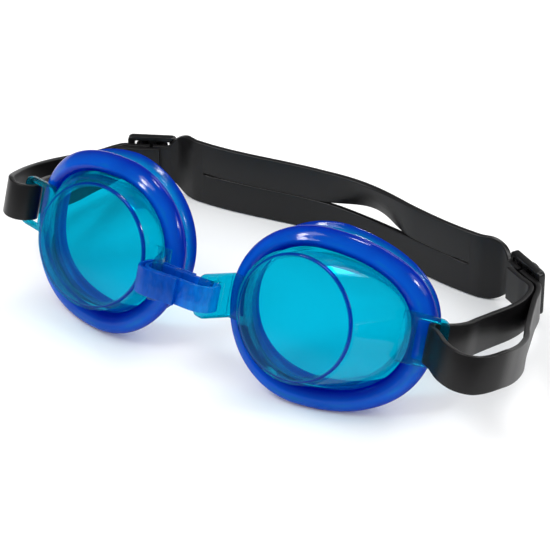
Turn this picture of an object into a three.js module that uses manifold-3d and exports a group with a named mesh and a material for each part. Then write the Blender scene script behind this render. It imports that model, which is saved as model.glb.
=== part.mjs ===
// Swim goggles: two moulded lens cups with soft gaskets, a soft nose strap through the cups' nose loops,
// and a split rubber head strap whose tails loop round the cups' temple bars and return to two buckles.
//
// Frame: millimetres, +Z up, the goggles lie as they rest on a table with the lenses facing -Y.
// The origin is the middle of the lower strap branch's bottom edge, on the table.

import * as THREE from 'three'
import Module from 'manifold-3d'
import { mergeVertices } from 'three/addons/utils/BufferGeometryUtils.js'

// ---- driving dimensions (mm) ----

const LENS_PITCH = 63          // between the two lens centres, an adult pupil distance
const LENS_RADIUS = 16.5       // flat round front of each cup
const LENS_THICK = 2.2
const STEP_WIDTH = 0.9         // narrow ledge round the lens
const STEP_DEPTH = 1.0
const LEAN = 19.6              // degrees the cups lean back when the goggles lie on a table
const LENS_HEIGHT = 27.5       // of the lens centres above the table
const LENS_TO_BACK = 77        // from the lens centres back to the middle of the rear strap

const RIM = { nose: 24, temple: 30.6, top: 22.8, bottom: 25.2 } // gasket rim's outline from the lens centre
const NOSE_ROUNDNESS = 2       // superellipse exponents of the rim's nose and temple halves
const TEMPLE_ROUNDNESS = 2.3
const RIM_DEPTH = 7            // rim behind the lens plane at the nose
const RIM_SWEEP = 0.0044       // how fast the rim sweeps back towards the temple
const FLANGE_THICK = 1.0
const GAP = 0.3                // between neighbouring pieces

const NOSE_LOOP = { x: 10.6, depth: 4, lean: 70, length: 11, height: 11.5, z: -1, thick: 2.4 }
const NOSE_SLOT = { from: 3, to: 7.5, height: 7.6 }
const NOSE_BAND = { height: 7, thick: 1.2 }
const SLEEVE_THICK = 0.9

const BRACKET = { a: 23.3, depth: 13.9, rise: 20, z: 0.7, height: 12.8, thick: 1.8 }
const BRACKET_SLOT = { from: 3.9, to: 9.7, height: 10.7 }
const BRACKET_LENGTH = 12.1

const STRAP_THICK = 1.5
const TAIL_HEIGHT = 10
const STRAP_HEIGHT = 19.6      // wide rear part
const SLIT = 0.8               // height of the slit that splits the rear part

const BUCKLE = { length: 14, height: 13.6, thick: 2.2, bar: 2, window: 10.8 }
const BUCKLE_CORNER = 1.2
const BUCKLE_TURN = 28         // degrees a buckle is turned towards the cups
const BUCKLE_PLACE = { x: 61.2, y: -6, z: 9.8 }
const REAR_SHIFT = -0.8        // the rear strap's middle lies a little to the left of the nose

const radians = THREE.MathUtils.degToRad
const leanUp = new THREE.Vector3(0, Math.sin(radians(LEAN)), Math.cos(radians(LEAN)))

// ---- materials ----

const material = (color, roughness, opacity = 1) => new THREE.MeshStandardMaterial({
  color,
  roughness,
  metalness: 0,
  transparent: opacity < 1,
  opacity,
})
const cupPlastic = () => material(0x00b8d8, 0.12, 0.7)
const gasketRubber = () => material(0x0048b8, 0.3, 0.85)
const noseRubber = () => material(0x0a5cc0, 0.4, 0.85)
const strapRubber = () => material(0x202022, 0.5)
const bucklePlastic = () => material(0x18181a, 0.4)

// ---- closed bodies from rings of points ----

// Joins rings of equal length in order. Each ring is a closed loop of Vector3, or a single point at a pole.
// With closed = true the last ring joins back to the first.
function loft(rings, closed = false) {
  const positions = []
  const starts = []
  for (const ring of rings) {
    starts.push(positions.length / 3)
    for (const p of ring) positions.push(p.x, p.y, p.z)
  }
  const index = []
  const count = Math.max(...rings.map((ring) => ring.length))
  const bands = closed ? rings.length : rings.length - 1
  for (let r = 0; r < bands; r++) {
    const s = (r + 1) % rings.length
    const at = (ring, k) => starts[ring] + (rings[ring].length === 1 ? 0 : k % count)
    for (let k = 0; k < count; k++) {
      const corners = [at(r, k), at(r, k + 1), at(s, k + 1), at(s, k)]
      if (rings[r].length > 1) index.push(corners[0], corners[1], corners[2])
      if (rings[s].length > 1) index.push(corners[0], corners[2], corners[3])
    }
  }
  return faceOutward(positions, index)
}

// Turns the triangles over if the body they enclose has a negative volume.
function faceOutward(positions, index) {
  const corner = (i) => new THREE.Vector3().fromArray(positions, 3 * index[i])
  let volume = 0
  for (let i = 0; i < index.length; i += 3) {
    volume += corner(i).dot(corner(i + 1).cross(corner(i + 2)))
  }
  if (volume < 0) index.reverse()
  const geometry = new THREE.BufferGeometry()
  geometry.setAttribute('position', new THREE.Float32BufferAttribute(positions, 3))
  geometry.setIndex(index)
  return geometry
}

// A ribbon along a curve: centre line, height and upright direction are functions of 0..1.
function ribbon({ at, height, upright, thick, steps, closed = false }) {
  const rings = []
  const last = closed ? steps - 1 : steps
  for (let i = 0; i <= last; i++) {
    const s = i / steps
    const centre = at(s)
    const ahead = at(closed ? (s + 0.002) % 1 : Math.min(1, s + 0.002))
    const behind = at(closed ? (s + 0.998) % 1 : Math.max(0, s - 0.002))
    const tangent = ahead.sub(behind).normalize()
    const up = upright(s)
    const side = new THREE.Vector3().crossVectors(tangent, up).normalize()
    const half = side.multiplyScalar(thick / 2)
    const rise = up.clone().multiplyScalar(height(s) / 2)
    rings.push([
      centre.clone().add(half).add(rise),
      centre.clone().sub(half).add(rise),
      centre.clone().sub(half).sub(rise),
      centre.clone().add(half).sub(rise),
    ])
  }
  if (closed) return loft(rings, true)
  return capped(rings)
}

// A loft with flat ends: each end ring is closed by its middle point.
function capped(rings) {
  const middle = (ring) => {
    const sum = new THREE.Vector3()
    for (const p of ring) sum.add(p)
    return [sum.divideScalar(ring.length)]
  }
  return loft([middle(rings[0]), ...rings, middle(rings[rings.length - 1])])
}

// ---- joins with manifold-3d ----

const wasm = await Module()
wasm.setup()

function solidOf(geometry) {
  const bare = geometry.clone()
  bare.deleteAttribute('normal')
  bare.deleteAttribute('uv')
  const merged = mergeVertices(bare, 1e-4)
  return new wasm.Manifold(new wasm.Mesh({
    numProp: 3,
    vertProperties: new Float32Array(merged.getAttribute('position').array),
    triVerts: new Uint32Array(merged.getIndex().array),
  }))
}

function geometryOf(solid) {
  const mesh = solid.getMesh()
  const geometry = new THREE.BufferGeometry()
  geometry.setAttribute('position', new THREE.BufferAttribute(new Float32Array(mesh.vertProperties), 3))
  geometry.setIndex(new THREE.BufferAttribute(new Uint32Array(mesh.triVerts), 1))
  return geometry
}

// ---- cup and gasket, drawn for the right eye from the lens centre ----
// a runs from the nose side to the temple side, depth behind the lens plane, z up along the lens.

const AROUND = 60

function rimPoint(turn, offset) {
  const c = Math.cos(turn)
  const s = Math.sin(turn)
  const power = 2 / (c < 0 ? NOSE_ROUNDNESS : TEMPLE_ROUNDNESS)
  const across = (c < 0 ? RIM.nose : RIM.temple) + offset
  const high = (s < 0 ? RIM.bottom : RIM.top) + offset
  return { a: Math.sign(c) * across * Math.abs(c) ** power, z: Math.sign(s) * high * Math.abs(s) ** power }
}

const rimDepth = (a) => RIM_DEPTH + RIM_SWEEP * Math.max(0, a + 21) ** 2

// flare (0..1) makes the ring part of the gasket's lip: it moves towards the temple, and its lowest points
// are lifted so that the lip's underside lies flat on the table.
const LIP_TUCK = 4.6
const LIP_SWEEP = 1.1

function rimRing(offset, back, flare = 0) {
  const ring = []
  for (let k = 0; k < AROUND; k++) {
    const { a, z } = rimPoint((2 * Math.PI * k) / AROUND, offset)
    const lift = LIP_TUCK * flare * Math.max(0, -z / RIM.bottom) ** 2
    ring.push(new THREE.Vector3(a + LIP_SWEEP * flare, rimDepth(a) + back, z + lift))
  }
  return ring
}

function roundRing(radius, depth) {
  const ring = []
  for (let k = 0; k < AROUND; k++) {
    const turn = (2 * Math.PI * k) / AROUND
    ring.push(new THREE.Vector3(radius * Math.cos(turn), depth, radius * Math.sin(turn)))
  }
  return ring
}

const WALL_OFFSET = -6.1       // outside of the cup's wall where it meets the rim
const WALL_THICK = 1.5
const FLANGE_BACK = 2.4        // flange behind the rim's front

function cupShell() {
  const ledge = LENS_RADIUS + STEP_WIDTH
  return loft([
    [new THREE.Vector3(0, 0, 0)],
    roundRing(LENS_RADIUS, 0),
    roundRing(LENS_RADIUS, STEP_DEPTH),
    roundRing(ledge, STEP_DEPTH),
    rimRing(WALL_OFFSET, 0.4),
    rimRing(WALL_OFFSET, FLANGE_BACK),
    rimRing(-1.6, FLANGE_BACK),
    rimRing(-1.6, FLANGE_BACK + FLANGE_THICK),
    rimRing(WALL_OFFSET - WALL_THICK, FLANGE_BACK + FLANGE_THICK),
    rimRing(WALL_OFFSET - WALL_THICK, 0.4),
    roundRing(LENS_RADIUS - 1.2, LENS_THICK),
    [new THREE.Vector3(0, LENS_THICK, 0)],
  ])
}

// Flat plate with rounded outer corners and one slot, drawn with its root edge on x = 0.
function loopPlate({ length, height, outer, thick, corner }, slot) {
  const h = height / 2
  const o = outer / 2
  const shape = new THREE.Shape()
  shape.moveTo(0, -h)
  shape.lineTo(length - corner, -o)
  shape.quadraticCurveTo(length, -o, length, -o + corner)
  shape.lineTo(length, o - corner)
  shape.quadraticCurveTo(length, o, length - corner, o)
  shape.lineTo(0, h)
  shape.closePath()
  const hole = new THREE.Path()
  hole.moveTo(slot.from, -slot.height / 2)
  hole.lineTo(slot.to, -slot.height / 2)
  hole.lineTo(slot.to, slot.height / 2)
  hole.lineTo(slot.from, slot.height / 2)
  hole.closePath()
  shape.holes.push(hole)
  const plate = new THREE.ExtrudeGeometry(shape, { depth: thick, bevelEnabled: false, curveSegments: 4 })
  return plate.translate(0, 0, -thick / 2)
}

// Places a plate drawn in its own x and y: x runs along (alongA, alongDepth), y up the lens.
function placePlate(plate, a, depth, z, alongA, alongDepth) {
  const along = new THREE.Vector3(alongA, alongDepth, 0)
  const up = new THREE.Vector3(0, 0, 1)
  const normal = new THREE.Vector3().crossVectors(along, up)
  const place = new THREE.Matrix4().makeBasis(along, up, normal).setPosition(a, depth, z)
  return plate.applyMatrix4(place)
}

function noseLoop() {
  const { length, height, thick, lean } = NOSE_LOOP
  const plate = loopPlate({ length, height, outer: height, thick, corner: 2.5 }, NOSE_SLOT)
  const a = NOSE_LOOP.x - LENS_PITCH / 2
  const turned = radians(lean)
  return placePlate(plate, a, NOSE_LOOP.depth, NOSE_LOOP.z, -Math.cos(turned), -Math.sin(turned))
}

// Short foot that carries the nose loop out from the cup's wall.
function noseFoot() {
  const { height, thick } = NOSE_LOOP
  const wall = LENS_RADIUS + STEP_WIDTH - 0.6
  const inner = LENS_PITCH / 2 - NOSE_LOOP.x + 1
  const foot = new THREE.BoxGeometry(inner - wall, thick, height)
  return foot.translate(-(inner + wall) / 2, NOSE_LOOP.depth, NOSE_LOOP.z)
}

function templeBracket() {
  const { a, depth, rise, z, height, thick } = BRACKET
  const size = { length: BRACKET_LENGTH, height, outer: height - 1, thick, corner: 2.5 }
  const plate = loopPlate(size, BRACKET_SLOT)
  return placePlate(plate, a, depth, z, Math.cos(radians(rise)), Math.sin(radians(rise)))
}

function cupGeometry() {
  const pieces = [noseFoot(), noseLoop(), templeBracket()]
  return geometryOf(pieces.reduce((solid, piece) => solid.add(solidOf(piece)), solidOf(cupShell())))
}

// Soft gasket: a front band that clips over the cup's flange, a skirt behind it and a flared lip.
// Each row is [offset from the rim's outline, depth behind the rim's front].
const GASKET_SECTION = [
  [-5.8, 0.6], [-4.6, -0.3], [-2.6, -0.5], [-0.8, 0.4], [-0.1, 1.9], [-0.9, 3.7],
  [-1.8, 5.4], [-2.3, 6.9], [-1.6, 8.1], [0, 8.8], [-0.7, 9.5], [-2.8, 9.3],
  [-4.6, 8.2], [-5.2, 6.4], [-5.4, 3.8], [-1.2, 3.8], [-1.2, 2], [-5.8, 2],
]

const LIP_BACK = 8.8

function gasketGeometry() {
  const flare = (back) => THREE.MathUtils.smoothstep(back, FLANGE_BACK + FLANGE_THICK, LIP_BACK)
  return loft(GASKET_SECTION.map(([offset, back]) => rimRing(offset, back, flare(back))), true)
}

// The same piece for the other eye, mirrored through the nose plane.
function mirrored(geometry) {
  const copy = geometry.clone().scale(-1, 1, 1)
  const index = Array.from(copy.getIndex().array)
  index.reverse()
  copy.setIndex(index)
  return copy
}

// ---- nose strap: a flat band round both nose bars, and a sleeve folded over its left half ----

const noseAlong = new THREE.Vector2(-Math.cos(radians(NOSE_LOOP.lean)), -Math.sin(radians(NOSE_LOOP.lean)))
const noseBarMiddle = (NOSE_SLOT.to + NOSE_LOOP.length) / 2
const noseBar = new THREE.Vector2(NOSE_LOOP.x, NOSE_LOOP.depth).addScaledVector(noseAlong, noseBarMiddle)

// Plan outline of a band round both bars, at a clearance from them, from front middle round the left bar.
function noseOutline(clear) {
  const front = noseBar.y - (NOSE_LOOP.length - NOSE_SLOT.to) / 2 - clear - 0.4
  const back = noseBar.y + (NOSE_LOOP.length - NOSE_SLOT.to) / 2 + clear + 0.4
  const side = noseBar.x + NOSE_LOOP.thick / 2 + clear + 0.3
  const left = [[0, front], [-0.78 * side, front], [-side, front + 1.9],
    [-side - 0.4, back - 1.6], [-0.95 * side, back]]
  const right = [[0, back], ...left.slice(1).reverse().map(([x, y]) => [-x, y])]
  return { left, right }
}

function bandCurve(points, closed) {
  const line = points.map(([x, y]) => new THREE.Vector3(x, y, NOSE_LOOP.z))
  return new THREE.CatmullRomCurve3(line, closed, 'centripetal')
}

const lensUp = () => new THREE.Vector3(0, 0, 1)

function noseBandGeometry() {
  const { left, right } = noseOutline(GAP + NOSE_BAND.thick / 2)
  const curve = bandCurve([...left, ...right], true)
  return ribbon({
    at: (s) => curve.getPoint(s),
    height: () => NOSE_BAND.height,
    upright: lensUp,
    thick: NOSE_BAND.thick,
    steps: 64,
    closed: true,
  })
}

function noseSleeveGeometry() {
  const { left } = noseOutline(GAP + NOSE_BAND.thick + GAP + SLEEVE_THICK / 2)
  const start = [1.5, left[0][1]]
  const end = [1.5, left[4][1]]
  const curve = bandCurve([start, ...left.slice(1), end], false)
  return ribbon({
    at: (s) => curve.getPoint(s),
    height: () => NOSE_BAND.height,
    upright: lensUp,
    thick: SLEEVE_THICK,
    steps: 48,
  })
}

// ---- head strap, in the table's frame ----

const plan = (points) => new THREE.CatmullRomCurve3(points.map(([x, y]) => new THREE.Vector3(x, y, 0)),
  false, 'centripetal')

const turn = radians(BUCKLE_TURN)
const buckleAlong = { x: Math.cos(turn), y: -Math.sin(turn) }  // from the rear strap to the cup
const buckleOut = { x: Math.sin(turn), y: Math.cos(turn) }     // away from the head
const LAYER_GAP = 0.45         // between the layers threaded through a buckle
const LAYER = BUCKLE.thick / 2 + LAYER_GAP + STRAP_THICK / 2  // layer next to the buckle, from its middle
const INNER_LAYER = LAYER + STRAP_THICK + LAYER_GAP           // layer next to the head

// A plan point near the right buckle: along it, and out of it.
const byBuckle = (along, out, shift = 0) => [
  BUCKLE_PLACE.x + shift + buckleAlong.x * along + buckleOut.x * out,
  BUCKLE_PLACE.y + buckleAlong.y * along + buckleOut.y * out,
]

// Plan line of the rear strap. Where the slit gapes open the upper branch bows further back and tips forward.
const SLIT_END = 43.5
const REAR_BOW = 5.6
const UPPER_BOW = 2.6
const UPPER_TIP = 22           // degrees
const lowerY = (x) => -REAR_BOW * (0.5 - 0.5 * Math.cos((Math.PI * x) / (SLIT_END + 2)))
const OPEN_MIDDLE = 11         // the slit gapes most here, to the right of the nose
const OPEN_REACH = 20
function gaping(x) {
  const t = THREE.MathUtils.clamp((x - OPEN_MIDDLE) / OPEN_REACH, -1, 1)
  return 0.5 + 0.5 * Math.cos(Math.PI * t)
}

const vertical = () => new THREE.Vector3(0, 0, 1)

function branchGeometry(low, high, bow, tip) {
  const reach = SLIT_END - GAP
  const across = (s) => reach * (2 * s - 1)
  return ribbon({
    at: (s) => new THREE.Vector3(across(s), lowerY(across(s)) + bow * gaping(across(s)), (low + high) / 2),
    height: () => high - low,
    upright: (s) => {
      const lean = radians(tip) * gaping(across(s))
      return new THREE.Vector3(0, -Math.sin(lean), Math.cos(lean))
    },
    thick: STRAP_THICK,
    steps: 48,
  })
}

// Wide end of the rear strap: a full-height piece with rounded shoulders and a neck into the buckle.
const SHOULDER = { from: 0.42, to: 0.68 }

function strapEndGeometry() {
  const curve = plan([[SLIT_END + GAP, lowerY(SLIT_END)], [SLIT_END + 3, lowerY(SLIT_END)],
    byBuckle(-8, -LAYER), byBuckle(-4, -LAYER), byBuckle(-0.5, -LAYER)])
  const height = (s) => {
    const t = THREE.MathUtils.clamp((s - SHOULDER.from) / (SHOULDER.to - SHOULDER.from), 0, 1)
    return TAIL_HEIGHT + (STRAP_HEIGHT - TAIL_HEIGHT) * Math.sqrt(1 - t * t)
  }
  return ribbon({
    at: (s) => curve.getPointAt(s).setZ(BUCKLE_PLACE.z),
    height,
    upright: vertical,
    thick: STRAP_THICK,
    steps: 30,
  })
}

// Tail: inner run from the buckle forward, round the temple bar, and back outside to the buckle.
const barMiddle = (BRACKET_SLOT.to + BRACKET_LENGTH) / 2
const barDepth = BRACKET.depth + Math.sin(radians(BRACKET.rise)) * barMiddle
const barX = LENS_PITCH / 2 + BRACKET.a + Math.cos(radians(BRACKET.rise)) * barMiddle
const barY = barDepth * leanUp.z + BRACKET.z * leanUp.y - LENS_TO_BACK
const barZ = LENS_HEIGHT - barDepth * leanUp.y + BRACKET.z * leanUp.z
const innerRun = (shift) => [byBuckle(-2.5, -INNER_LAYER, shift), byBuckle(3, -INNER_LAYER, shift),
  byBuckle(8, -INNER_LAYER, shift), [67.6, -21], [67.6, -28], [66.6, -36], [66.1, -44], [66.1, -51]]
const roundBar = [[barX - 0.4, barY + 3.6], [barX - 2.5, barY + 0.95], [barX - 3.1, barY - 1],
  [barX - 2.3, barY - 2.8], [barX - 0.2, barY - 4]]
const rightOuterRun = [[69.8, -67.9], [75, -69.6], [79.8, -68.6], [83.2, -63.5], [83.2, -56], [80.6, -45.5],
  [77.1, -38], [73.2, -28.5], [70.1, -20.5]]
const leftOuterRun = [[68, -63.9], [70.6, -61.6], [73.3, -55.4], [75.4, -46.6], [75.6, -37], [73.4, -27],
  [70.9, -20]]
const outerEnd = (shift) => [8.5, 4, 0.5].map((along) => byBuckle(along, -LAYER, shift))

// How far a point of the tail is from the buckle (0) to the temple bar (1). Past the bar it levels off.
const CLIMB_FROM = -13
const LEVEL_OFF = 0.06
function climb(y) {
  const c = Math.max(0, (CLIMB_FROM - y) / (CLIMB_FROM - barY))
  return c < 1 ? c : 1 + LEVEL_OFF * Math.tanh((c - 1) / LEVEL_OFF)
}

// Tail's mid height: it leaves the bracket square to the leaning bar and flattens out towards the buckle.
const CURL = 1.5
const tailZ = (c) => BUCKLE_PLACE.z + ((barZ - BUCKLE_PLACE.z) * (c + CURL * c * c)) / (1 + CURL)

function tailGeometry(outerRun, shift) {
  const curve = plan([...innerRun(shift), ...roundBar, ...outerRun, ...outerEnd(shift)])
  return ribbon({
    at: (s) => {
      const p = curve.getPointAt(s)
      return p.setZ(tailZ(climb(p.y)))
    },
    height: () => TAIL_HEIGHT,
    upright: (s) => {
      const lean = radians(LEAN) * Math.min(1, climb(curve.getPointAt(s).y))
      return new THREE.Vector3(0, Math.sin(lean), Math.cos(lean))
    },
    thick: STRAP_THICK,
    steps: 120,
  })
}

// Buckle: a flat plate with two windows either side of a centre bar.
function buckleGeometry() {
  const { length, height, thick, bar, window } = BUCKLE
  const l = length / 2
  const h = height / 2
  const shape = new THREE.Shape()
  shape.moveTo(-l + BUCKLE_CORNER, -h)
  shape.lineTo(l - BUCKLE_CORNER, -h)
  shape.quadraticCurveTo(l, -h, l, -h + BUCKLE_CORNER)
  shape.lineTo(l, h - BUCKLE_CORNER)
  shape.quadraticCurveTo(l, h, l - BUCKLE_CORNER, h)
  shape.lineTo(-l + BUCKLE_CORNER, h)
  shape.quadraticCurveTo(-l, h, -l, h - BUCKLE_CORNER)
  shape.lineTo(-l, -h + BUCKLE_CORNER)
  shape.quadraticCurveTo(-l, -h, -l + BUCKLE_CORNER, -h)
  const plate = new THREE.ExtrudeGeometry(shape, { depth: thick, bevelEnabled: false, curveSegments: 4 })
  plate.translate(0, 0, -thick / 2)
  let solid = solidOf(plate)
  const opening = l - 1.5 * bar
  for (const side of [-1, 1]) {
    const cut = new THREE.BoxGeometry(opening, window, 2 * thick)
    cut.translate(side * (bar + opening) / 2, 0, 0)
    solid = solid.subtract(solidOf(cut))
  }
  const along = new THREE.Vector3(buckleAlong.x, buckleAlong.y, 0)
  const up = vertical()
  const out = new THREE.Vector3().crossVectors(along, up)
  const place = new THREE.Matrix4().makeBasis(along, up, out)
    .setPosition(BUCKLE_PLACE.x, BUCKLE_PLACE.y, BUCKLE_PLACE.z)
  return geometryOf(solid).applyMatrix4(place)
}

// ---- the assembly ----

const goggles = new THREE.Group()
const front = new THREE.Group()       // everything that leans back with the lenses
front.position.set(0, -LENS_TO_BACK, LENS_HEIGHT)
front.rotation.x = -radians(LEAN)
goggles.add(front)

function add(parent, name, geometry, finish, x = 0) {
  const closed = geometryOf(solidOf(geometry))
  closed.computeVertexNormals()
  const mesh = new THREE.Mesh(closed, finish)
  mesh.name = name
  mesh.position.x = x
  parent.add(mesh)
}

const cup = cupGeometry()
const gasket = gasketGeometry()
add(front, 'lens_cup_right', cup, cupPlastic(), LENS_PITCH / 2)
add(front, 'lens_cup_left', mirrored(cup), cupPlastic(), -LENS_PITCH / 2)
add(front, 'gasket_right', gasket, gasketRubber(), LENS_PITCH / 2)
add(front, 'gasket_left', mirrored(gasket), gasketRubber(), -LENS_PITCH / 2)
add(front, 'nose_band', noseBandGeometry(), noseRubber())
add(front, 'nose_sleeve', noseSleeveGeometry(), noseRubber())

const rear = new THREE.Group()        // the rear strap and its buckles
rear.position.x = REAR_SHIFT
goggles.add(rear)
const slitLow = (STRAP_HEIGHT - SLIT) / 2
const lowerBranch = branchGeometry(0, slitLow, 0, 0)
const upperBranch = branchGeometry(slitLow + SLIT, STRAP_HEIGHT, UPPER_BOW, UPPER_TIP)
add(rear, 'strap_lower_branch', lowerBranch, strapRubber())
add(rear, 'strap_upper_branch', upperBranch, strapRubber())
const strapEnd = strapEndGeometry()
add(rear, 'strap_end_right', strapEnd, strapRubber())
add(rear, 'strap_end_left', mirrored(strapEnd), strapRubber())
const buckle = buckleGeometry()
add(rear, 'buckle_right', buckle, bucklePlastic())
add(rear, 'buckle_left', mirrored(buckle), bucklePlastic())
add(goggles, 'strap_tail_right', tailGeometry(rightOuterRun, REAR_SHIFT), strapRubber())
add(goggles, 'strap_tail_left', mirrored(tailGeometry(leftOuterRun, -REAR_SHIFT)), strapRubber())

export default goggles
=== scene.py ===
import math
import bmesh
import bpy
from mathutils import Matrix, Vector


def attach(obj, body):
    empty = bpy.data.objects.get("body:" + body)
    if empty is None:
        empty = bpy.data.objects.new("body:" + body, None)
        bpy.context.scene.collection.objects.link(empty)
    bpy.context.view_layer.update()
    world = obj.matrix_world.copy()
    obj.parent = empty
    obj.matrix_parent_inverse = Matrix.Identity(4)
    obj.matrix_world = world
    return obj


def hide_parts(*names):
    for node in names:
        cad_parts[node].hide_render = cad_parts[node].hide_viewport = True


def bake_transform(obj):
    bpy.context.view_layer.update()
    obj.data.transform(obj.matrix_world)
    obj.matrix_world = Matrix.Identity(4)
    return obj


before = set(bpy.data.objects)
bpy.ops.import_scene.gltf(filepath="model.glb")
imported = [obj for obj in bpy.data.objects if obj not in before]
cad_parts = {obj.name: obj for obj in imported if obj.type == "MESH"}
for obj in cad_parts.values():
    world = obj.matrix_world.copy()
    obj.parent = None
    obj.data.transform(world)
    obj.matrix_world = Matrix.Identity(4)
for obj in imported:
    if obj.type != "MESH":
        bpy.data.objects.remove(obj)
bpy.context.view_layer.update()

# Swim goggles resting on a table, lenses facing -Y, with the origin under the rear strap.
# Shapes are drawn in millimetres and scaled to metres on the way into the mesh.
# A cup is drawn about its own lens centre: x towards the temple, y away from the viewer, z up.

MM = 0.001
UP = Vector((0, 0, 1))
LENS_X = 31.5                 # lens centre from the middle of the goggles
LEAN = math.radians(19.6)     # how far the lenses lean back
FRONT = Matrix.Translation((0, -77, 27.5)) @ Matrix.Rotation(-LEAN, 4, "X")
AROUND = 168                  # points round a cup or gasket
TURNS = [2 * math.pi * k / AROUND for k in range(AROUND)]


# ---- mesh helpers ----

def link(name, data):
    obj = bpy.data.objects.new(name, data)
    bpy.context.scene.collection.objects.link(obj)
    return obj


def weld(mesh, distance):
    """Joins points closer than the distance, in metres, and turns every face outwards."""
    bm = bmesh.new()
    bm.from_mesh(mesh)
    bmesh.ops.remove_doubles(bm, verts=bm.verts, dist=distance)
    bmesh.ops.recalc_face_normals(bm, faces=bm.faces)
    if bm.calc_volume(signed=True) < 0:
        bmesh.ops.reverse_faces(bm, faces=bm.faces)
    bm.to_mesh(mesh)
    bm.free()


def loft(name, rings, closed_long=False):
    """Equal rings joined in order. closed_long joins the last to the first; if not, both are capped."""
    n, total = len(rings[0]), len(rings)
    faces = []
    for r in range(total if closed_long else total - 1):
        s = (r + 1) % total
        for k in range(n):
            k2 = (k + 1) % n
            faces.append((r * n + k, r * n + k2, s * n + k2, s * n + k))
    if not closed_long:
        faces.append(tuple(range(n)))
        faces.append(tuple(reversed(range((total - 1) * n, total * n))))
    mesh = bpy.data.meshes.new(name)
    mesh.from_pydata([Vector(p) * MM for ring in rings for p in ring], [], faces)
    weld(mesh, 1e-7)
    mesh.polygons.foreach_set("use_smooth", [True] * len(mesh.polygons))
    return link(name, mesh)


def box(name, low, high):
    corners = ((low[0], low[1]), (high[0], low[1]), (high[0], high[1]), (low[0], high[1]))
    return loft(name, [[Vector((x, y, z)) for x, y in corners] for z in (low[2], high[2])])


def between_knots(p, q, start, end, u):
    return p * ((end - u) / (end - start)) + q * ((u - start) / (end - start))


def spline(points, count, closed=False):
    """Centripetal Catmull-Rom curve through the points, resampled to count points in even steps."""
    pts = [Vector(p) for p in points]
    n = len(pts)
    steps = 24
    line = []
    for i in range(n if closed else n - 1):
        if closed:
            p = [pts[(i + j - 1) % n] for j in range(4)]
        else:
            p = [pts[max(0, min(n - 1, i + j - 1))] for j in range(4)]
            if i == 0:
                p[0] = pts[0] * 2 - pts[1]
            if i == n - 2:
                p[3] = pts[-1] * 2 - pts[-2]
        t = [0.0]
        for j in range(3):
            t.append(t[-1] + max(1e-6, (p[j + 1] - p[j]).length ** 0.5))
        for k in range(steps):
            u = t[1] + (t[2] - t[1]) * k / steps
            a = [between_knots(p[j], p[j + 1], t[j], t[j + 1], u) for j in range(3)]
            b = [between_knots(a[j], a[j + 1], t[j], t[j + 2], u) for j in range(2)]
            line.append(between_knots(b[0], b[1], t[1], t[2], u))
    line.append(line[0] if closed else pts[-1].copy())
    lengths = lengths_along(line)
    out = []
    j = 0
    for i in range(count):
        want = lengths[-1] * i / (count if closed else count - 1)
        while j < len(lengths) - 2 and lengths[j + 1] < want:
            j += 1
        span = lengths[j + 1] - lengths[j]
        w = (want - lengths[j]) / span if span > 0 else 0
        out.append(line[j].lerp(line[j + 1], min(1, max(0, w))))
    return out


def lengths_along(line):
    lengths = [0.0]
    for p, q in zip(line, line[1:]):
        lengths.append(lengths[-1] + (q - p).length)
    return lengths


def rounded_rect(width, height, corner, steps=4):
    """Closed outline of (across, up) points with rounded corners."""
    out = []
    for cx, cy, start in ((1, 1, 0), (-1, 1, 90), (-1, -1, 180), (1, -1, 270)):
        for k in range(steps + 1):
            a = math.radians(start + 90 * k / steps)
            out.append((cx * (width / 2 - corner) + corner * math.cos(a),
                        cy * (height / 2 - corner) + corner * math.sin(a)))
    return out


def round_corners(corners, radius, steps=6):
    """Rounds the corners of a closed outline, given as (x, y, share of the radius, 0 for a sharp one)."""
    out = []
    n = len(corners)
    for i, (x, y, share) in enumerate(corners):
        p = Vector((x, y))
        a = Vector(corners[i - 1][:2]) - p
        b = Vector(corners[(i + 1) % n][:2]) - p
        r = radius * share
        if r == 0:
            out.append((x, y))
            continue
        start = p + a.normalized() * min(r, a.length / 2)
        end = p + b.normalized() * min(r, b.length / 2)
        for k in range(steps + 1):
            t = k / steps
            q = start.lerp(p, t).lerp(p.lerp(end, t), t)
            out.append((q.x, q.y))
    return out


def strip(name, line, height, thick, corner, upright=lambda i: UP, closed=False):
    """A flat rubber strip with rounded edges along a line; upright gives its up direction at each point."""
    n = len(line)
    rings = []
    for i, c in enumerate(line):
        ahead = line[(i + 1) % n] if closed else line[min(n - 1, i + 1)]
        behind = line[(i - 1) % n] if closed else line[max(0, i - 1)]
        up = upright(i)
        side = (ahead - behind).cross(up).normalized()
        rings.append([c + side * across + up * rise for across, rise in rounded_rect(thick, height, corner)])
    return loft(name, rings, closed_long=closed)


def plate(name, outline, hole, thick, edge=0.35):
    """A flat plate with one hole and rounded edges, from outlines in (along, up)."""
    curve = bpy.data.curves.new(name, "CURVE")
    curve.dimensions = "2D"
    curve.fill_mode = "BOTH"
    for loop in (outline, hole):
        s = curve.splines.new("POLY")
        s.points.add(len(loop) - 1)
        for p, (x, y) in zip(s.points, loop):
            p.co = (x * MM, y * MM, 0, 1)
        s.use_cyclic_u = True
    curve.extrude = (thick / 2 - edge) * MM
    curve.bevel_depth = edge * MM
    curve.bevel_resolution = 2
    curve.offset = -edge * MM
    drawn = link(name + "_curve", curve)
    mesh = evaluated_mesh(drawn)
    bpy.data.objects.remove(drawn)
    weld(mesh, 1e-6)
    return link(name, mesh)


def evaluated_mesh(obj):
    bpy.context.view_layer.update()
    deps = bpy.context.evaluated_depsgraph_get()
    return bpy.data.meshes.new_from_object(obj.evaluated_get(deps))


def apply_modifiers(obj):
    mesh = evaluated_mesh(obj)
    obj.modifiers.clear()
    old = obj.data
    obj.data = mesh
    bpy.data.meshes.remove(old)


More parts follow.
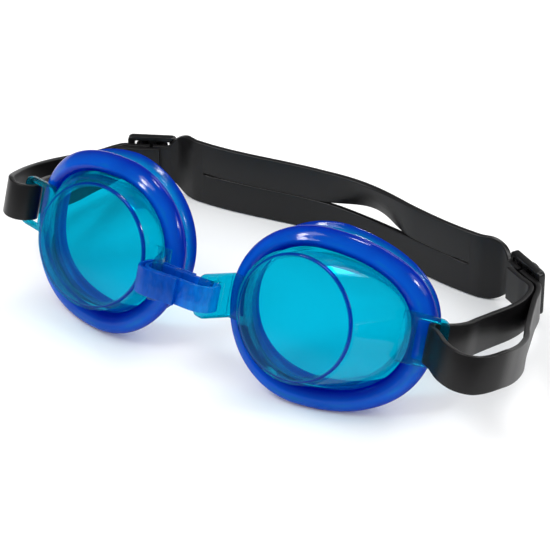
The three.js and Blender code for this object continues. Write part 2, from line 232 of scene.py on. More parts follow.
def bevel(obj, width):
    m = obj.modifiers.new("edges", "BEVEL")
    m.width = width * MM
    m.segments = 2
    m.limit_method = "ANGLE"
    m.angle_limit = math.radians(35)
    apply_modifiers(obj)


def boolean(obj, other, operation):
    """Joins the other solid to obj or cuts it away, and removes the other."""
    m = obj.modifiers.new("join", "BOOLEAN")
    m.operation = operation
    m.solver = "EXACT"
    m.object = other
    apply_modifiers(obj)
    bpy.data.objects.remove(other)


def place(obj, matrix):
    """Moves the mesh itself, so that the object stays at the origin. The matrix is in millimetres."""
    scaled = matrix.copy()
    scaled.translation = matrix.translation * MM
    obj.data.transform(scaled)
    if scaled.determinant() < 0:
        obj.data.flip_normals()


def standing(along, centre):
    """The matrix that stands a flat plate on its edge: its x runs along and its y runs up."""
    m = Matrix((along, UP, along.cross(UP))).transposed().to_4x4()
    m.translation = centre
    return m


def mirrored(sign):
    return Matrix.Scale(sign, 4, (1, 0, 0))


def hand_of(side):
    return 1 if side == "right" else -1


def paint(obj, name, value):
    """Stores a value per vertex for a material to read. value takes the vertex position in millimetres."""
    layer = obj.data.attributes.new(name, "FLOAT", "POINT")
    for v in obj.data.vertices:
        layer.data[v.index].value = value(v.co / MM)


def dress(obj, material, sharp_angle):
    """Smooth shading with sharp edges above the angle, and one material."""
    obj.data.polygons.foreach_set("use_smooth", [True] * len(obj.data.polygons))
    obj.data.set_sharp_from_angle(angle=math.radians(sharp_angle))
    obj.data.materials.clear()
    obj.data.materials.append(material)


# ---- materials ----

class Nodes:
    """Small wrapper that builds a material from nodes."""

    def __init__(self, name):
        self.mat = bpy.data.materials.new(name)
        self.mat.use_nodes = True
        self.tree = self.mat.node_tree
        self.tree.nodes.clear()
        self.out = self.tree.nodes.new("ShaderNodeOutputMaterial")

    def put(self, socket, value):
        if isinstance(value, bpy.types.NodeSocket):
            self.tree.links.new(value, socket)
        else:
            socket.default_value = value

    def add(self, kind, **inputs):
        """A node with some of its inputs set or linked, by name, with _ for a space."""
        node = self.tree.nodes.new(kind)
        for key, value in inputs.items():
            self.put(node.inputs[key.replace("_", " ")], value)
        return node

    def ramp(self, factor, stops):
        node = self.tree.nodes.new("ShaderNodeValToRGB")
        self.tree.links.new(factor, node.inputs[0])
        elements = node.color_ramp.elements
        while len(elements) > 1:
            elements.remove(elements[-1])
        elements[0].position, elements[0].color = stops[0][0], (*stops[0][1], 1)
        for at, colour in stops[1:]:
            elements.new(at).color = (*colour, 1)
        return node.outputs[0]

    def fade(self, factor, stops):
        """A ramp of plain numbers."""
        return self.ramp(factor, [(at, (value,) * 3) for at, value in stops])

    def maths(self, operation, a, b, clamp=False):
        node = self.tree.nodes.new("ShaderNodeMath")
        node.operation = operation
        node.use_clamp = clamp
        self.put(node.inputs[0], a)
        self.put(node.inputs[1], b)
        return node.outputs[0]

    def stretch(self, value, start, gain, clamp=False):
        """(value - start) * gain"""
        return self.maths("MULTIPLY", self.maths("SUBTRACT", value, start), gain, clamp)

    def mix_shaders(self, factor, a, b):
        node = self.add("ShaderNodeMixShader", Fac=factor)
        self.tree.links.new(a, node.inputs[1])
        self.tree.links.new(b, node.inputs[2])
        return node.outputs[0]

    def mix_colours(self, factor, a, b):
        """a is a colour output and b a plain colour."""
        node = self.add("ShaderNodeMix")
        node.data_type = "RGBA"
        self.tree.links.new(factor, node.inputs[0])
        self.tree.links.new(a, node.inputs[6])
        node.inputs[7].default_value = (*b, 1)
        return node.outputs[2]

    def attribute(self, key):
        node = self.add("ShaderNodeAttribute")
        node.attribute_name = key
        return node.outputs["Fac"]

    def noise(self, scale, detail, stretch=(1, 1, 1)):
        where = self.add("ShaderNodeTexCoord")
        mapped = self.add("ShaderNodeMapping", Vector=where.outputs["Object"], Scale=stretch)
        node = self.add("ShaderNodeTexNoise", Vector=mapped.outputs[0], Scale=scale, Detail=detail)
        return node.outputs["Fac"]

    def bump(self, height, strength, distance):
        return self.add("ShaderNodeBump", Height=height, Strength=strength, Distance=distance).outputs[0]

    def facing(self, blend):
        return self.add("ShaderNodeLayerWeight", Blend=blend).outputs["Facing"]

    def solid(self, colour, roughness, ior, specular, normal):
        return self.add("ShaderNodeBsdfPrincipled", Base_Color=colour, Roughness=roughness, IOR=ior,
                        Normal=normal, Specular_IOR_Level=specular).outputs[0]

    def coat(self, shader, roughness, ior, share, normal):
        """A clear polish over the shader, which mirrors more at a glancing view."""
        gloss = self.add("ShaderNodeBsdfGlossy", Color=(1, 1, 1, 1), Roughness=roughness, Normal=normal)
        fresnel = self.add("ShaderNodeFresnel", IOR=ior, Normal=normal).outputs[0]
        return self.mix_shaders(self.maths("MULTIPLY", fresnel, share), shader, gloss.outputs[0])

    def finish(self, shader):
        self.tree.links.new(shader, self.out.inputs["Surface"])
        return self.mat


def clear_plastic(name, tint, deep_tint, body, deep_body):
    """Tinted see-through plastic: a clear tint that deepens on painted shade (zone 1, a dark line on the step
    round the lens) and where the surface is seen edge-on.
    """
    n = Nodes(name)
    edge_on = n.stretch(n.facing(0.35), 0.9, 1.6)
    swirl = n.stretch(n.noise(45, 3), 0.5, 0.1)
    # The zone attribute brings in the painted shade on the step round the lens.
    edge = n.maths("MAXIMUM", n.attribute("zone"), edge_on, clamp=True)
    edge = n.maths("ADD", edge, swirl, clamp=True)

    # Light on its way in, and walls seen through the lens, are tinted less than the lens itself.
    ray = n.add("ShaderNodeLightPath")
    lighting = n.maths("MAXIMUM", ray.outputs["Is Shadow Ray"], ray.outputs["Is Diffuse Ray"])
    behind_lens = n.maths("GREATER_THAN", ray.outputs["Transparent Depth"], 1.5)
    paler = n.maths("MULTIPLY", n.maths("MAXIMUM", lighting, behind_lens), 0.85)
    seen_tint = n.ramp(edge, [(0.0, tint), (0.25, tint), (1.0, deep_tint)])
    clear = n.add("ShaderNodeBsdfTransparent", Color=n.mix_colours(paler, seen_tint, (0.75, 0.95, 0.98)))

    normal = n.bump(n.noise(60, 2), strength=0.04, distance=0.0004)
    colour = n.ramp(edge, [(0.0, body), (0.3, body), (1.0, deep_body)])
    solid = n.solid(colour, roughness=0.07, ior=1.5, specular=0.15, normal=normal)
    cover = n.fade(edge, [(0.0, 0.05), (0.3, 0.07), (1.0, 0.55)])
    mixed = n.mix_shaders(cover, clear.outputs[0], solid)
    return n.finish(n.coat(mixed, roughness=0.06, ior=1.3, share=0.5, normal=normal))


def clear_rubber(name, colours, tints, edge, cover, scuffs=0.0):
    """Tinted soft elastomer, of which part of the light passes and part is scattered.

    Zone 0 is thick and deep and zone 1 thin and pale, with a colour and a tint for zones 0, 0.5 and 1, and a
    cover for zones 0 and 1; a raised zone can also carry painted light. The attribute line marks painted
    shade:
    dark lines along folds and edges, which take the edge colour, as do surfaces seen end-on. Scuffs roughen
    the surface and vary how much light passes."""
    n = Nodes(name)
    cloud = n.stretch(n.noise(70, 4), 0.47, 0.9)
    zone = n.maths("ADD", n.attribute("zone"), cloud, clamp=True)
    end_on = n.stretch(n.facing(0.4), 0.72, 2.8, clamp=True)
    # Painted shade: dark lines along the folds and edges, from the attribute line, and on surfaces seen
    # end-on.
    painted_dark_edges = n.maths("MAXIMUM", end_on, n.attribute("line"), clamp=True)

    def by_zone(shades):
        return n.mix_colours(painted_dark_edges, n.ramp(zone, list(zip((0.0, 0.5, 1.0), shades))), edge)

    colour = by_zone(colours)
    clear = n.add("ShaderNodeBsdfTransparent", Color=by_zone(tints))
    relief, worn = n.noise(150, 3), zone
    if scuffs:
        rubbed = n.noise(420, 5, (1.6, 1, 0.5))
        relief = n.maths("ADD", relief, n.maths("MULTIPLY", rubbed, scuffs))
        worn = n.maths("ADD", zone, n.stretch(rubbed, 0.5, 1.6 * scuffs), clamp=True)
    normal = n.bump(relief, strength=0.16 + 0.3 * scuffs, distance=0.0004)
    solid = n.solid(colour, roughness=0.5, ior=1.45, specular=0.0, normal=normal)
    glow = n.add("ShaderNodeBsdfTranslucent", Color=colour)
    scattered = n.mix_shaders(0.45, solid, glow.outputs[0])
    covered = n.fade(worn, [(0.0, cover[0]), (1.0, cover[1])])
    mixed = n.mix_shaders(covered, clear.outputs[0], scattered)
    return n.finish(n.coat(mixed, roughness=0.09, ior=1.33, share=0.62, normal=normal))


def satin_black(name, base, sheen, rough, grain):
    """Satin black rubber or plastic with a fine grain and a faint mould flow in its colour and sheen."""
    n = Nodes(name)
    flow = n.noise(35, 4)
    colour = n.ramp(flow, [(0.3, base), (0.7, sheen)])
    roughness = n.add("ShaderNodeMapRange", Value=flow, From_Min=0.3, From_Max=0.7,
                      To_Min=rough - 0.06, To_Max=rough + 0.06)
    normal = n.bump(n.noise(grain, 2), strength=0.12, distance=0.0001)
    return n.finish(n.solid(colour, roughness.outputs[0], ior=1.5, specular=0.28, normal=normal))


LENS = clear_plastic("lens_cyan", tint=(0.0, 0.655, 0.785), deep_tint=(0.0, 0.05, 0.35),
                     body=(0.0, 0.42, 0.66), deep_body=(0.0, 0.03, 0.3))
GASKET = clear_rubber("gasket_blue",
                      colours=[(0.0, 0.072, 0.60), (0.0, 0.17, 0.88), (0.0, 0.44, 0.74)],
                      tints=[(0.0, 0.16, 0.74), (0.0, 0.28, 0.80), (0.05, 0.66, 0.88)],
                      edge=(0.0, 0.006, 0.38), cover=(0.80, 0.55))
NOSE = clear_rubber("nose_blue",
                    colours=[(0.0, 0.09, 0.55), (0.0, 0.19, 0.74), (0.0, 0.40, 0.85)],
                    tints=[(0.0, 0.30, 0.74), (0.0, 0.38, 0.80), (0.0, 0.55, 0.86)],
                    edge=(0.0, 0.015, 0.34), cover=(0.66, 0.42), scuffs=2.0)
STRAP = satin_black("strap_black", (0.0035, 0.0033, 0.0037), (0.0075, 0.0070, 0.0078), 0.36, 2500)
BUCKLE = satin_black("buckle_black", (0.0040, 0.0040, 0.0043), (0.007, 0.007, 0.0075), 0.28, 3500)


# ---- the two cups: lens, wall, flange, nose loop and temple bracket ----

RIM_NOSE, RIM_TEMPLE, RIM_TOP, RIM_BOTTOM = 24, 30.6, 22.8, 25.2   # half sizes of the gasket's outline
NOSE_ROUNDNESS, TEMPLE_ROUNDNESS = 2.0, 2.3                        # 2 is an ellipse, more is squarer
RIM_DEPTH = 7                                                      # of the rim's front, behind the lens
WRAP, WRAP_FROM = 0.0044, -21                                      # how the rim curves back round the face
LIP_TUCK, LIP_SWEEP = 4.6, 1.1                                     # the lip's: off the table, to the temple

# The cup's step round the flat lens as (radius, depth), then the ledge that the wall starts from.
LENS_STEP = [(15.6, 0.0), (16.2, 0.02), (16.42, 0.12), (16.5, 0.35), (16.5, 0.8), (16.6, 0.95), (16.8, 1.0),
             (17.2, 1.0)]
LEDGE = (17.4, 1.0)
LENS_BACK = (15.3, 2.2)
WALL_OUTSIDE, WALL_INSIDE = -6.1, -6.9        # offsets from the rim's outline
FLANGE_EDGE, FLANGE_FRONT, FLANGE_BACK = -2.7, 2.4, 3.4

LOOP_X, LOOP_DEPTH, LOOP_Z = 10.6, 4, -1      # where the nose loops start; x is from the goggles' middle
LOOP_TURN = math.radians(70)                  # they point mostly forwards
LOOP_LENGTH, LOOP_HEIGHT, LOOP_THICK = 11, 11.5, 2.4
LOOP_SLOT_END, LOOP_SLOT_HEIGHT = 7.5, 7.6
LOOP_SLOT_START = {"right": 4.2, "left": 3.0}   # the left slot also holds the sleeve
FOOT_FROM, FOOT_LAP = 16.8, 1                 # the foot joins the lens's step and laps into the loop

BRACKET_START = Vector((23.3, 13.9, 0.7))
BRACKET_TURN = math.radians(20)
BRACKET_LENGTH, BRACKET_HEIGHT, BRACKET_END_HEIGHT, BRACKET_THICK = 12.1, 13.6, 13.2, 2.0
BRACKET_SLOT = (3.9, 9.7, 10.7)               # start, end, height


def rim_point(turn, offset):
    """A point of the rim's outline, moved outwards by the offset. Turn 0 is at the temple."""
    c, s = math.cos(turn), math.sin(turn)
    power = 2 / (NOSE_ROUNDNESS if c < 0 else TEMPLE_ROUNDNESS)
    across = (RIM_NOSE if c < 0 else RIM_TEMPLE) + offset
    high = (RIM_BOTTOM if s < 0 else RIM_TOP) + offset
    return (math.copysign(across * abs(c) ** power, c), math.copysign(high * abs(s) ** power, s))


def rim_ring(offset, back, flare=0.0, pull=0.0, top=0.0):
    """flare sweeps the lip towards the temple and off the table, pull draws the ring inwards on the temple
    side, and top draws it inwards over the upper half."""
    ring = []
    for turn in TURNS:
        upper = max(0, math.sin(turn) + 0.3) / 1.3
        a, z = rim_point(turn, offset - pull * max(0, math.cos(turn)) - top * upper)
        depth = RIM_DEPTH + WRAP * max(0, a - WRAP_FROM) ** 2
        lift = LIP_TUCK * flare * max(0, -z / RIM_BOTTOM) ** 2
        ring.append(Vector((a + LIP_SWEEP * flare, depth + back, z + lift)))
    return ring


def round_ring(radius, depth):
    return [Vector((radius * math.cos(turn), depth, radius * math.sin(turn))) for turn in TURNS]


def between(a, b, shares):
    """Rings at the given shares of the way from ring a to ring b."""
    return [[p.lerp(q, t) for p, q in zip(a, b)] for t in shares]


def cup_shell(name):
    ledge, lens_back = round_ring(*LEDGE), round_ring(*LENS_BACK)
    wall_out, wall_in = rim_ring(WALL_OUTSIDE, 0.4), rim_ring(WALL_INSIDE, 0.6)
    rings = [round_ring(radius, depth) for radius, depth in LENS_STEP] + [ledge]
    rings += between(ledge, wall_out, (0.04, 0.2, 0.4, 0.6, 0.8, 0.95)) + [wall_out]
    rings += [rim_ring(WALL_OUTSIDE, FLANGE_FRONT), rim_ring(FLANGE_EDGE, FLANGE_FRONT),
              rim_ring(FLANGE_EDGE, FLANGE_BACK), rim_ring(WALL_INSIDE, FLANGE_BACK), wall_in]
    rings += between(wall_in, lens_back, (0.2, 0.4, 0.6, 0.8, 0.96)) + [lens_back]
    return loft(name, rings)


def slotted_plate(name, length, height, end_height, thick, corner, slot):
    """A plate that stands out from a cup, with one slot given as (start, end, height)."""
    root, tip = height / 2, end_height / 2
    outline = round_corners([(0, -root, 0), (length, -tip, 1), (length, tip, 1), (0, root, 0)], corner)
    start, end, half = slot[0], slot[1], slot[2] / 2
    hole = round_corners([(start, -half, 1), (start, half, 1), (end, half, 1), (end, -half, 1)], 0.7)
    return plate(name, outline, hole, thick)


def nose_loop(side):
    slot = (LOOP_SLOT_START[side], LOOP_SLOT_END, LOOP_SLOT_HEIGHT)
    loop = slotted_plate("loop", LOOP_LENGTH, LOOP_HEIGHT, LOOP_HEIGHT, LOOP_THICK, 2.5, slot)
    along = Vector((-math.cos(LOOP_TURN), -math.sin(LOOP_TURN), 0))
    place(loop, standing(along, Vector((LOOP_X - LENS_X, LOOP_DEPTH, LOOP_Z))))
    return loop


def nose_foot():
    """The flat foot that joins the nose loop to the lens's step."""
    far = LENS_X - LOOP_X + FOOT_LAP
    half = Vector((far - FOOT_FROM, LOOP_THICK, LOOP_HEIGHT)) / 2
    foot = box("foot", -half, half)
    bevel(foot, 0.35)
    place(foot, Matrix.Translation((-(far + FOOT_FROM) / 2, LOOP_DEPTH, LOOP_Z)))
    return foot


def temple_bracket():
    bracket = slotted_plate("bracket", BRACKET_LENGTH, BRACKET_HEIGHT, BRACKET_END_HEIGHT, BRACKET_THICK, 2.8,
                            BRACKET_SLOT)
    along = Vector((math.cos(BRACKET_TURN), math.sin(BRACKET_TURN), 0))
    place(bracket, standing(along, BRACKET_START))
    return bracket


def lens_zone(p):
    """1 on the step round the lens, where it paints a dark line of shade that stands in for the lens's edge
    seen end-on, and 0 on the clear lens and wall.
    """
    r = math.hypot(p.x, p.z)
    if p.y > 0.97 or r > 16.7:
        return 0.0
    return max(0.0, min(1.0, (r - 15.6) / 0.5))


def settle(obj, side):
    """Puts a piece drawn about the right lens centre in its place, mirrored for the left eye."""
    place(obj, mirrored(hand_of(side)) @ FRONT @ Matrix.Translation((LENS_X, 0, 0)))


def cup(side):
    shell = cup_shell("lens_cup_" + side + "_visual")
    for part in (nose_foot(), nose_loop(side), temple_bracket()):
        boolean(shell, part, "UNION")
    # The zone paints shade as a dark line on the step round the lens.
    paint(shell, "zone", lens_zone)
    settle(shell, side)
    dress(shell, LENS, 32)
    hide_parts("lens_cup_" + side)
    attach(shell, "cup_" + side)


# ---- gaskets ----

# Half section of a gasket: (offset from the rim's outline, depth behind its front, zone, painted dark line,
# pull, top).
# It starts at the inner edge, runs over the front band, the waisted skirt and the lip, and back inside to the
# groove that holds the flange. The dark line column paints shade, mostly along the inner fold, the band's
# ridge and the lip's edge.
GASKET_SECTION = [
    (-5.8, 0.6, 0.0, 1.0, 0, 0), (-5.1, -0.1, 0.0, 0.85, 0, 0), (-4.2, -0.42, 0.3, 0.0, 0, 0.4),
    (-2.6, -0.5, 0.5, 0.0, 0, 1.0), (-0.8, 0.4, 0.3, 0.0, 0, 1.7), (-0.1, 1.9, 0.1, 0.8, 0, 1.7),
    (-0.9, 3.7, 1.0, 0.0, 0, 1.3), (-1.8, 5.0, 1.0, 0.0, 0, 0.9), (-2.3, 6.5, 1.0, 0.0, 0, 0.4),
    (-1.5, 7.9, 1.0, 0.0, 0, 0), (0.0, 8.8, 0.1, 0.8, 0, 0), (-0.7, 9.5, 0.0, 0.55, 0, 0),
    # On these rows, back inside towards the groove, the zone is raised to paint light into the shaded inside
    # of the cup, which makes them a brighter blue.
    (-2.2, 9.5, 0.5, 0.0, 1.5, 0), (-3.2, 9.0, 0.6, 0.0, 3.6, 0), (-3.7, 8.2, 0.4, 0.3, 4.3, 0),
    (-3.9, 7.0, 0.65, 0.0, 3.2, 0), (-4.7, 5.4, 0.5, 0.15, 1.2, 0), (-5.4, 3.8, 0.6, 0.0, 0, 0)]
GROOVE = [(-2.3, 3.8), (-2.3, 2.0), (-5.8, 2.0)]
SECTION_POINTS = 76
LIP_FROM, LIP_REACH = 3.4, 5.4     # depth where the lip's flare starts, and how far it takes to build up


def smooth_columns(first, second):
    """Two columns of the section drawn as one smooth curve and sampled in even steps."""
    points = [(row[first], row[second], 0.4 * i) for i, row in enumerate(GASKET_SECTION)]
    return spline(points, SECTION_POINTS)


def gasket(side):
    shape, looks, draws = smooth_columns(0, 1), smooth_columns(2, 3), smooth_columns(4, 5)
    rows = [(p.x, p.y, max(0, q.x), max(0, q.y), max(0, u.x), max(0, u.y))
            for p, q, u in zip(shape, looks, draws)]
    rows += [(offset, behind, 0.0, 0.3, 0, 0) for offset, behind in GROOVE]
    rings = []
    for offset, behind, _, _, pull, top in rows:
        t = min(1, max(0, (behind - LIP_FROM) / LIP_REACH))
        rings.append(rim_ring(offset, behind, t * t * (3 - 2 * t), pull, top))
    obj = loft("gasket_" + side + "_visual", rings, closed_long=True)
    # The attribute line carries the painted dark lines of shade along the folds and edges.
    for name, column in (("zone", 2), ("line", 3)):
        values = [row[column] for row in rows for _ in TURNS]
        obj.data.attributes.new(name, "FLOAT", "POINT").data.foreach_set("value", values)
    settle(obj, side)
    dress(obj, GASKET, 50)
    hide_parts("gasket_" + side)
    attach(obj, "cup_" + side)


for eye in ("right", "left"):
    cup(eye)
    gasket(eye)


# ---- nose strap ----

NOSE_BAR = (LOOP_LENGTH + LOOP_SLOT_END) / 2          # middle of a loop's bar, along the loop
NOSE_BAR_X = LOOP_X - NOSE_BAR * math.cos(LOOP_TURN)
NOSE_BAR_DEPTH = LOOP_DEPTH - NOSE_BAR * math.sin(LOOP_TURN)
NOSE_GAP = 0.3                                        # between the bar, the band and the sleeve
BAND_THICK, BAND_HEIGHT = 1.2, 7
SLEEVE_THICK, SLEEVE_HEIGHT = 0.9, 7.2
SLEEVE_FROM = 1.5                                     # where the sleeve starts, just right of the middle


def round_nose_bars(clear):
    """The left half, then the right half, of a loop in plan that stays clear of both nose bars."""
    half = (LOOP_LENGTH - LOOP_SLOT_END) / 2
    front = NOSE_BAR_DEPTH - half - clear - 0.4
    back = NOSE_BAR_DEPTH + half + clear + 0.4
    side = NOSE_BAR_X + LOOP_THICK / 2 + clear + 0.3
    left = [(0, front), (-0.78 * side, front), (-side, front + 1.9), (-side - 0.4, back - 1.6),
            (-0.95 * side, back)]
    return left, [(0, back)] + [(-x, y) for x, y in reversed(left[1:])]


def nose_line(plan, count, closed=False):
    return spline([(x, y, LOOP_Z) for x, y in plan], count, closed)


def nose_zone(p):
    """Deeper over the left half, where band and sleeve lie on each other, and paler to the right."""
    return 0.25 + 0.6 * min(1, max(0, p.x) / 9)


def nose_pieces():
    left, right = round_nose_bars(NOSE_GAP + BAND_THICK / 2)
    band = strip("nose_band_visual", nose_line(left + right, 120, closed=True), BAND_HEIGHT, BAND_THICK,
                 corner=0.35, closed=True)
    left, _ = round_nose_bars(NOSE_GAP + BAND_THICK + NOSE_GAP + SLEEVE_THICK / 2)
    wrap_line = nose_line([(SLEEVE_FROM, left[0][1])] + left[1:] + [(SLEEVE_FROM, left[-1][1])], 100)
    sleeve = strip("nose_sleeve_visual", wrap_line, SLEEVE_HEIGHT, SLEEVE_THICK, corner=0.3)
    for obj, node in ((band, "nose_band"), (sleeve, "nose_sleeve")):
        paint(obj, "zone", nose_zone)
        place(obj, FRONT)
        dress(obj, NOSE, 40)
        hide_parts(node)
        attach(obj, "nose_strap")


nose_pieces()


# ---- head strap ----

THICK, STRAP_CORNER = 1.5, 0.34
STRAP_HEIGHT, TAIL_HEIGHT = 19.6, 10
SHIFT = -0.8                        # the whole rear strap lies a little to the left
BUCKLE_X, BUCKLE_Y, BUCKLE_Z = 61.2, -6.0, STRAP_HEIGHT / 2
BUCKLE_TURN = math.radians(28)
ALONG = Vector((math.cos(BUCKLE_TURN), -math.sin(BUCKLE_TURN), 0))   # through the right buckle, outwards
OUT = Vector((math.sin(BUCKLE_TURN), math.cos(BUCKLE_TURN), 0))
LAYER, INNER_LAYER = 2.3, 4.25      # how far inside the buckle's plate the strap's layers lie
SLIT_END = 43.5                     # the slit's ends, left and right of the middle
BOW, UPPER_BOW = 5.6, 2.6           # forward sag of the strap's middle; the upper branch stands back from it
UPPER_TIP = math.radians(22)
OPEN_MIDDLE, OPEN_REACH = 8, 17     # the part of the slit that gapes
SLIT_CLOSED, SLIT_GAPE = 0.05, 0.33   # half heights of the slit where it is shut, and what gaping adds
HOLE_HALF, HOLE_IN, HOLE_SPREAD = 0.29, 1.9, 2.6   # what each end's hole adds, and where
NECK, SHOULDER = 4.8, 11.6          # where the strap widens, from its end


def by_buckle(along, out, shift=0.0):
    p = Vector((BUCKLE_X + shift, BUCKLE_Y, 0)) + ALONG * along + OUT * out
    return (p.x, p.y)


def lower_y(x):
    return -BOW * (0.5 - 0.5 * math.cos(math.pi * x / (SLIT_END + 2)))


def gaping(x):
    """How far the slit is open, 0 to 1."""
    return 0.5 + 0.5 * math.cos(math.pi * max(-1, min(1, (x - OPEN_MIDDLE) / OPEN_REACH)))


def strap_line():
    """Plan line of the rear strap, from the left neck's end to the right one's, drawn about x = 0."""
    inside = [(x, lower_y(x)) for x in (0, 8, 16, 24, 31, 37, 42)]
    ends = [(SLIT_END + past, lower_y(SLIT_END)) for past in (0.3, 3)]
    right = inside + ends + [by_buckle(along, -LAYER) for along in (-8, -4, -0.5)]
    return [(-x, y, 0) for x, y in reversed(right[1:])] + [(x, y, 0) for x, y in right]


def slit_half(x):
    """Half the slit's height: nearly closed, a little wider where it gapes and near its ends."""
    hole = HOLE_HALF * math.exp(-(((SLIT_END - HOLE_IN - abs(x)) / HOLE_SPREAD) ** 2))
    return SLIT_CLOSED + SLIT_GAPE * gaping(x) + hole


def slit_edge(x):
    """Half the slit's height with its ends rounded off to nothing."""
    t = min(1, max(0, SLIT_END - abs(x)))
    return slit_half(x) * math.sqrt(1 - (1 - t) ** 2)


def strap_ring(line, i, low, high, up=UP):
    """The strap's section at one point of its line, from the height low to high, leaning along up."""
    ahead, behind = line[min(len(line) - 1, i + 1)], line[max(0, i - 1)]
    side = (ahead - behind).cross(up).normalized()
    centre = Vector((line[i].x, line[i].y, (low + high) / 2))
    section = rounded_rect(THICK, high - low, STRAP_CORNER)
    return [centre + side * across + up * rise for across, rise in section]


def strap_body():
    """The wide ends and the lower branch, in one piece."""
    line = spline(strap_line(), 381)
    for edge in (-SLIT_END, SLIT_END):
        nearest = min(range(len(line)), key=lambda i: abs(line[i].x - edge))
        line[nearest].x = edge
    length = lengths_along(line)
    rings = []
    for i, p in enumerate(line):
        to_end = min(length[i], length[-1] - length[i])
        t = min(1, max(0, (SHOULDER - to_end) / (SHOULDER - NECK)))
        half = TAIL_HEIGHT / 2 + (STRAP_HEIGHT - TAIL_HEIGHT) / 2 * (1 - t ** 1.7) ** 0.8
        tops = [BUCKLE_Z + half]
        if abs(p.x) == SLIT_END:
            tops = [BUCKLE_Z + half, BUCKLE_Z] if p.x < 0 else [BUCKLE_Z, BUCKLE_Z + half]
        elif abs(p.x) < SLIT_END:
            tops = [BUCKLE_Z - slit_edge(p.x)]
        rings += [strap_ring(line, i, BUCKLE_Z - half, top) for top in tops]
    obj = loft("rear_strap_visual", rings)
    place(obj, Matrix.Translation((SHIFT, 0, 0)))
    dress(obj, STRAP, 45)
    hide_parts("strap_lower_branch", "strap_end_right", "strap_end_left")
    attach(obj, "rear_strap")


def upper_branch(side):
    """Half of the upper branch, which bends from the slit's end when the strap splits."""
    sign = hand_of(side)
    xs = [sign * SLIT_END * k / 110 for k in range(111)]
    line = [Vector((x, lower_y(x) + UPPER_BOW * gaping(x), 0)) for x in xs]
    rings = []
    for i, x in enumerate(xs):
        tip = UPPER_TIP * gaping(x)
        lean = Vector((0, -math.sin(tip), math.cos(tip)))
        rings.append(strap_ring(line, i, BUCKLE_Z + slit_edge(x), STRAP_HEIGHT, lean))
    obj = loft("upper_branch_" + side + "_visual", rings)
    place(obj, Matrix.Translation((SHIFT, 0, 0)))
    dress(obj, STRAP, 45)
    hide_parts("strap_upper_branch")
    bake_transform(obj)


strap_body()
for hand in ("right", "left"):
    upper_branch(hand)


# ---- tails, buckles and the strap's turn round each buckle's centre bar ----

BAR_REACH = (BRACKET_LENGTH + BRACKET_SLOT[1]) / 2     # middle of a bracket's bar, along the bracket
BAR = FRONT @ (Vector((LENS_X, 0, 0)) + BRACKET_START
               + BAR_REACH * Vector((math.cos(BRACKET_TURN), math.sin(BRACKET_TURN), 0)))
CLIMB_FROM = -13                                      # behind this depth the tails are level

# Plan of a tail beyond its bar, from the bar's front back to the buckle. The right one bulges out.
OUTER_RUN = {
    "right": [(69.8, -67.9), (75, -69.6), (79.8, -68.6), (83.2, -63.5), (83.2, -56), (80.6, -45.5),
              (77.1, -38), (73.2, -28.5), (70.1, -20.5)],
    "left": [(68, -63.9), (70.6, -61.6), (73.3, -55.4), (75.4, -46.6), (75.6, -37), (73.4, -27), (70.9, -20)]}

BUCKLE_HALF_LENGTH, BUCKLE_HALF_HEIGHT, BUCKLE_THICK = 7.0, 6.8, 2.2
WINDOW_FROM, WINDOW_TO, WINDOW_HALF_HEIGHT = 1, 5, 5.4


def climb(y):
    """How far a tail has climbed to the temple bar at a depth: 1 at the bar, and barely more past it."""
    c = max(0, (CLIMB_FROM - y) / (CLIMB_FROM - BAR.y))
    over = 0.06   # how much further it may rise past the bar
    return c if c < 1 else 1 + over * math.tanh((c - 1) / over)


def tail(side):
    sign = hand_of(side)
    shift = SHIFT * sign
    inner = [by_buckle(along, -INNER_LAYER, shift) for along in (-2.5, 3, 8)]
    inner += [(67.6, -21), (67.6, -28), (66.6, -36), (66.1, -44), (66.1, -51)]
    bend = ((-0.4, 3.6), (-2.5, 0.95), (-3.1, -1), (-2.3, -2.8), (-0.2, -4))
    round_bar = [(BAR.x + x, BAR.y + y) for x, y in bend]
    end = [by_buckle(along, -LAYER, shift) for along in (8.5, 4, 0.5)]
    line = spline([(x, y, 0) for x, y in inner + round_bar + OUTER_RUN[side] + end], 360)
    for p in line:
        c = climb(p.y)
        p.z = BUCKLE_Z + (BAR.z - BUCKLE_Z) * (c + 1.5 * c * c) / 2.5

    def upright(i):
        lean = LEAN * min(1, climb(line[i].y))
        return Vector((0, math.sin(lean), math.cos(lean)))

    obj = strip("strap_tail_" + side + "_visual", line, TAIL_HEIGHT, THICK, corner=0.28, upright=upright)
    place(obj, mirrored(sign))
    dress(obj, STRAP, 45)
    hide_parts("strap_tail_" + side)
    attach(obj, "tail_" + side)


def buckle(side):
    """A slide buckle: a plate with two windows and a bar between them."""
    l, h, w = BUCKLE_HALF_LENGTH, BUCKLE_HALF_HEIGHT, WINDOW_HALF_HEIGHT
    outline = round_corners([(-l, -h, 1), (l, -h, 1), (l, h, 1), (-l, h, 1)], 1.6)
    near, far = WINDOW_FROM, WINDOW_TO
    window = round_corners([(near, -w, 1), (near, w, 1), (far, w, 1), (far, -w, 1)], 0.5)
    obj = plate("buckle_" + side + "_visual", outline, window, BUCKLE_THICK, edge=0.4)
    boolean(obj, box("cut", (-far, -w, -3), (-near, w, 3)), "DIFFERENCE")
    upright = standing(ALONG, Vector((BUCKLE_X, BUCKLE_Y, BUCKLE_Z)))
    place(obj, Matrix.Translation((SHIFT, 0, 0)) @ mirrored(hand_of(side)) @ upright)
    dress(obj, BUCKLE, 35)
    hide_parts("buckle_" + side)
    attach(obj, "buckle_" + side)


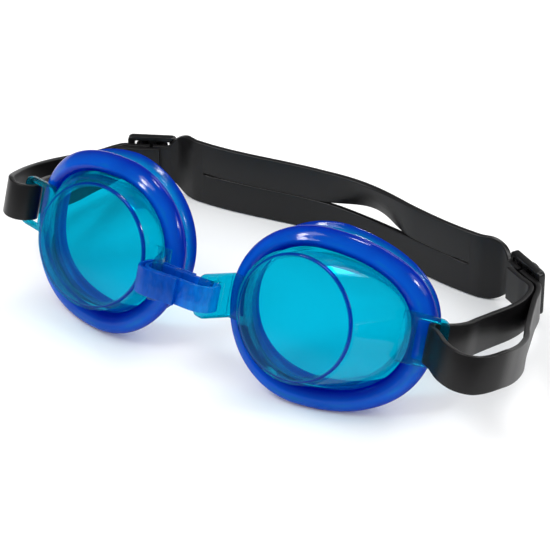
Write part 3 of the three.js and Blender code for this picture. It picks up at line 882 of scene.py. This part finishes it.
def wrap(side):
    """The strap's turn through both windows and over the buckle's centre bar."""
    half = [(3.9, -0.9), (3.2, 0.3), (2.2, 1.6), (0.8, 2.15)]
    bend = half + [(-along, out) for along, out in reversed(half)]
    line = spline([(*by_buckle(along, out), 0) for along, out in bend], 48)
    for p in line:
        p.z = BUCKLE_Z
    obj = strip("strap_wrap_" + side + "_visual", line, TAIL_HEIGHT, THICK, corner=0.3)
    place(obj, Matrix.Translation((SHIFT, 0, 0)) @ mirrored(hand_of(side)))
    dress(obj, STRAP, 45)
    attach(obj, "buckle_" + side)


for hand in ("right", "left"):
    tail(hand)
    buckle(hand)
    wrap(hand)


# ---- floor ----

FLOOR_HALF = 3

floor_mesh = bpy.data.meshes.new("floor")
floor_mesh.from_pydata([(x * FLOOR_HALF, y * FLOOR_HALF, 0) for x, y in ((-1, -1), (1, -1), (1, 1), (-1, 1))],
                       [], [(0, 1, 2, 3)])
floor = link("floor", floor_mesh)
floor.location.z = -0.0002   # just below the goggles, so that no faces coincide
paper = Nodes("paper")
paper_shader = paper.add("ShaderNodeBsdfPrincipled", Base_Color=(0.93, 0.93, 0.93, 1), Roughness=0.9,
                         Specular_IOR_Level=0.1)
floor_mesh.materials.append(paper.finish(paper_shader.outputs[0]))


# ---- light ----

world = bpy.data.worlds.new("studio")
bpy.context.scene.world = world
world.use_nodes = True
backdrop = world.node_tree.nodes["Background"]
backdrop.inputs[0].default_value = (1, 1, 1, 1)
path = world.node_tree.nodes.new("ShaderNodeLightPath")
dim = world.node_tree.nodes.new("ShaderNodeMapRange")
dim.inputs["To Min"].default_value = 1.0    # what lights the goggles
dim.inputs["To Max"].default_value = 0.16   # what they mirror: a dark studio with bright soft boxes
world.node_tree.links.new(path.outputs["Is Glossy Ray"], dim.inputs["Value"])
world.node_tree.links.new(dim.outputs[0], backdrop.inputs[1])
bpy.context.scene.view_settings.view_transform = "Standard"

LAMP_TARGET = Vector((0, -0.04, 0.02))
# Lamps as (name, place, size, power).
SOFT_LAMPS = [("key", (-0.30, -0.45, 0.80), 0.30, 2.6),
              ("fill", (0.75, 0.05, 0.55), 0.35, 1.6),
              ("back", (0.05, 0.70, 0.55), 0.40, 2.2)]
STREAK_LAMPS = [("streak_left", (-0.55, -0.75, 0.95), 0.16, 5),
                ("streak_right", (0.95, -0.10, 0.75), 0.14, 4),
                ("streak_top", (0.02, 0.15, 1.10), 0.18, 4)]


def lamp(name, where, size, power):
    light = bpy.data.lights.new(name, "AREA")
    light.energy = power
    light.size = size
    obj = link(name, light)
    obj.location = where
    obj.rotation_euler = (LAMP_TARGET - Vector(where)).to_track_quat("-Z", "Y").to_euler()
    return obj


for settings in SOFT_LAMPS:
    lamp(*settings)
for settings in STREAK_LAMPS:
    streak = lamp(*settings)   # a small bright box that only the polished surfaces mirror
    streak.visible_diffuse = False
    streak.visible_transmission = False


# ---- camera ----

AZIMUTH, ELEVATION = math.radians(33.006), math.radians(32.89)

camera_data = bpy.data.cameras.new("camera")
camera_data.lens = 182.17
camera_data.sensor_width = 36
camera_data.clip_end = 20
camera = link("camera", camera_data)
backwards = Vector((math.sin(AZIMUTH) * math.cos(ELEVATION), -math.cos(AZIMUTH) * math.cos(ELEVATION),
                    math.sin(ELEVATION)))
rightwards = Vector((math.cos(AZIMUTH), math.sin(AZIMUTH), 0))
view = Matrix((rightwards, backwards.cross(rightwards), backwards)).transposed().to_4x4()
view.translation = Vector((0.344223, -0.566795, 0.416296))
camera.matrix_world = view
bpy.context.scene.camera = camera
